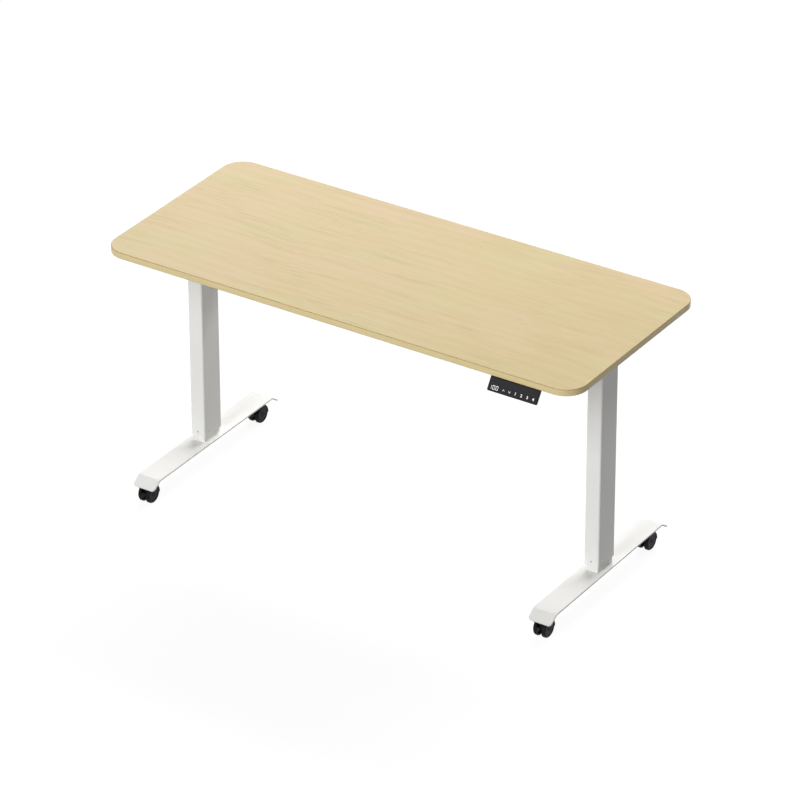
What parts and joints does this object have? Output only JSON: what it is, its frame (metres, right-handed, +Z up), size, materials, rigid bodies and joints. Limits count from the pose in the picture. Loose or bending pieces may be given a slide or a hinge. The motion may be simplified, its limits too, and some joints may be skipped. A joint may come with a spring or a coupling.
{
  "type": "height adjustable desk",
  "caption": "Electric sit-stand desk: rounded wood-look top on two telescopic columns, bent steel feet with twin-wheel casters and an under-edge handset.",
  "frame": {"origin": "on the floor, under the middle of the desk's overall outline", "axes": "+Z up, -Y towards the user at the front edge, +X to the user's right"},
  "size_m": [1.4, 0.6201, 0.733],
  "materials": {
    "laminate": "satin laminate with a fine oak grain",
    "edge_band": "satin ABS edging, wood colour",
    "powder_white": "fine textured white powder coat",
    "zinc_steel": "bright zinc plated",
    "bearing_steel": "ground steel, oiled",
    "cast_aluminium": "die cast, shot blasted",
    "glide_nylon": "moulded nylon",
    "nut_acetal": "machined acetal",
    "black_plastic": "fine spark texture",
    "caster_black": "moulded nylon, satin",
    "wheel_black": "moulded nylon, satin",
    "handset_black": "fine spark texture",
    "handset_panel": "smoked panel, satin"
  },
  "bodies": {
    "left_base": {"left_inner_column": "powder_white", "left_foot_plate": "powder_white", "left_upper_glide": "glide_nylon", "left_spindle_nut": "nut_acetal", "left_foot_bolts": "zinc_steel", "left_caster_stems": "zinc_steel"},
    "lifting_frame": {"desktop_board": "laminate", "desktop_edge_band": "edge_band", "desktop_screws": "zinc_steel", "frame_bolts": "zinc_steel", "glide_screws": "zinc_steel", "front_rail": "powder_white", "rear_rail": "powder_white", "spindle_bearings": "bearing_steel", "motor_caps": "black_plastic", "handset_body": "handset_black", "handset_face": "handset_panel", "control_box_plate": "zinc_steel", "control_box_cover": "black_plastic", "control_box_sockets": "black_plastic", "left_side_bracket": "powder_white", "left_outer_column": "powder_white", "left_lower_glide": "glide_nylon", "left_gearbox": "cast_aluminium", "left_motor": "zinc_steel", "right_side_bracket": "powder_white", "right_outer_column": "powder_white", "right_lower_glide": "glide_nylon", "right_gearbox": "cast_aluminium", "right_motor": "zinc_steel"},
    "right_base": {"right_inner_column": "powder_white", "right_foot_plate": "powder_white", "right_upper_glide": "glide_nylon", "right_spindle_nut": "nut_acetal", "right_foot_bolts": "zinc_steel", "right_caster_stems": "zinc_steel"},
    "left_spindle": {"left_spindle": "bearing_steel"},
    "front_left_caster": {"front_left_caster_hood": "caster_black", "front_left_caster_axle": "bearing_steel"},
    "front_left_wheel_left": {"front_left_wheel_left": "wheel_black"},
    "front_left_wheel_right": {"front_left_wheel_right": "wheel_black"},
    "rear_left_caster": {"rear_left_caster_hood": "caster_black", "rear_left_caster_axle": "bearing_steel"},
    "rear_left_wheel_left": {"rear_left_wheel_left": "wheel_black"},
    "rear_left_wheel_right": {"rear_left_wheel_right": "wheel_black"},
    "right_spindle": {"right_spindle": "bearing_steel"},
    "front_right_caster": {"front_right_caster_hood": "caster_black", "front_right_caster_axle": "bearing_steel"},
    "front_right_wheel_left": {"front_right_wheel_left": "wheel_black"},
    "front_right_wheel_right": {"front_right_wheel_right": "wheel_black"},
    "rear_right_caster": {"rear_right_caster_hood": "caster_black", "rear_right_caster_axle": "bearing_steel"},
    "rear_right_wheel_left": {"rear_right_wheel_left": "wheel_black"},
    "rear_right_wheel_right": {"rear_right_wheel_right": "wheel_black"},
    "key_up": {"key_up": "handset_panel"},
    "key_down": {"key_down": "handset_panel"},
    "key_1": {"key_1": "handset_panel"},
    "key_2": {"key_2": "handset_panel"},
    "key_3": {"key_3": "handset_panel"},
    "key_4": {"key_4": "handset_panel"}
  },
  "joints": [
    {"name": "lift", "type": "slide", "parent": "left_base", "child": "lifting_frame", "axis": [0, 0, 1], "range_m": [0, 0.45]},
    {"name": "right_leg_slide", "type": "slide", "parent": "lifting_frame", "child": "right_base", "axis": [0, 0, -1], "range_m": [0, 0.45]},
    {"name": "left_spindle_turn", "type": "hinge", "parent": "lifting_frame", "child": "left_spindle", "pos_m": [-0.6025, 0.0103, 0.6], "axis": [0, 0, 1], "continuous": true},
    {"name": "front_left_swivel", "type": "hinge", "parent": "left_base", "child": "front_left_caster", "pos_m": [-0.6025, -0.2392, 0.05], "axis": [0, 0, 1], "continuous": true},
    {"name": "front_left_wheel_left_roll", "type": "hinge", "parent": "front_left_caster", "child": "front_left_wheel_left", "pos_m": [-0.6025, -0.2537, 0.025], "axis": [1, 0, 0], "continuous": true},
    {"name": "front_left_wheel_right_roll", "type": "hinge", "parent": "front_left_caster", "child": "front_left_wheel_right", "pos_m": [-0.6025, -0.2537, 0.025], "axis": [1, 0, 0], "continuous": true},
    {"name": "rear_left_swivel", "type": "hinge", "parent": "left_base", "child": "rear_left_caster", "pos_m": [-0.6025, 0.2598, 0.05], "axis": [0, 0, 1], "continuous": true},
    {"name": "rear_left_wheel_left_roll", "type": "hinge", "parent": "rear_left_caster", "child": "rear_left_wheel_left", "pos_m": [-0.6025, 0.2453, 0.025], "axis": [1, 0, 0], "continuous": true},
    {"name": "rear_left_wheel_right_roll", "type": "hinge", "parent": "rear_left_caster", "child": "rear_left_wheel_right", "pos_m": [-0.6025, 0.2453, 0.025], "axis": [1, 0, 0], "continuous": true},
    {"name": "right_spindle_turn", "type": "hinge", "parent": "lifting_frame", "child": "right_spindle", "pos_m": [0.6025, 0.0103, 0.6], "axis": [0, 0, 1], "continuous": true},
    {"name": "front_right_swivel", "type": "hinge", "parent": "right_base", "child": "front_right_caster", "pos_m": [0.6025, -0.2392, 0.05], "axis": [0, 0, 1], "continuous": true},
    {"name": "front_right_wheel_left_roll", "type": "hinge", "parent": "front_right_caster", "child": "front_right_wheel_left", "pos_m": [0.6025, -0.2537, 0.025], "axis": [1, 0, 0], "continuous": true},
    {"name": "front_right_wheel_right_roll", "type": "hinge", "parent": "front_right_caster", "child": "front_right_wheel_right", "pos_m": [0.6025, -0.2537, 0.025], "axis": [1, 0, 0], "continuous": true},
    {"name": "rear_right_swivel", "type": "hinge", "parent": "right_base", "child": "rear_right_caster", "pos_m": [0.6025, 0.2598, 0.05], "axis": [0, 0, 1], "continuous": true},
    {"name": "rear_right_wheel_left_roll", "type": "hinge", "parent": "rear_right_caster", "child": "rear_right_wheel_left", "pos_m": [0.6025, 0.2453, 0.025], "axis": [1, 0, 0], "continuous": true},
    {"name": "rear_right_wheel_right_roll", "type": "hinge", "parent": "rear_right_caster", "child": "rear_right_wheel_right", "pos_m": [0.6025, 0.2453, 0.025], "axis": [1, 0, 0], "continuous": true},
    {"name": "key_up_press", "type": "slide", "parent": "lifting_frame", "child": "key_up", "axis": [0, 0.832, -0.5548], "range_m": [0, 0.0008], "stiffness_N_per_m": 900},
    {"name": "key_down_press", "type": "slide", "parent": "lifting_frame", "child": "key_down", "axis": [0, 0.832, -0.5548], "range_m": [0, 0.0008], "stiffness_N_per_m": 900},
    {"name": "key_1_press", "type": "slide", "parent": "lifting_frame", "child": "key_1", "axis": [0, 0.832, -0.5548], "range_m": [0, 0.0008], "stiffness_N_per_m": 900},
    {"name": "key_2_press", "type": "slide", "parent": "lifting_frame", "child": "key_2", "axis": [0, 0.832, -0.5548], "range_m": [0, 0.0008], "stiffness_N_per_m": 900},
    {"name": "key_3_press", "type": "slide", "parent": "lifting_frame", "child": "key_3", "axis": [0, 0.832, -0.5548], "range_m": [0, 0.0008], "stiffness_N_per_m": 900},
    {"name": "key_4_press", "type": "slide", "parent": "lifting_frame", "child": "key_4", "axis": [0, 0.832, -0.5548], "range_m": [0, 0.0008], "stiffness_N_per_m": 900}
  ],
  "couplings": [
    {"joint": "right_leg_slide", "follows": "lift", "ratio": 1},
    {"joint": "left_spindle_turn", "follows": "lift", "rad_per_m": 628.32},
    {"joint": "right_spindle_turn", "follows": "lift", "rad_per_m": 628.32}
  ]
}
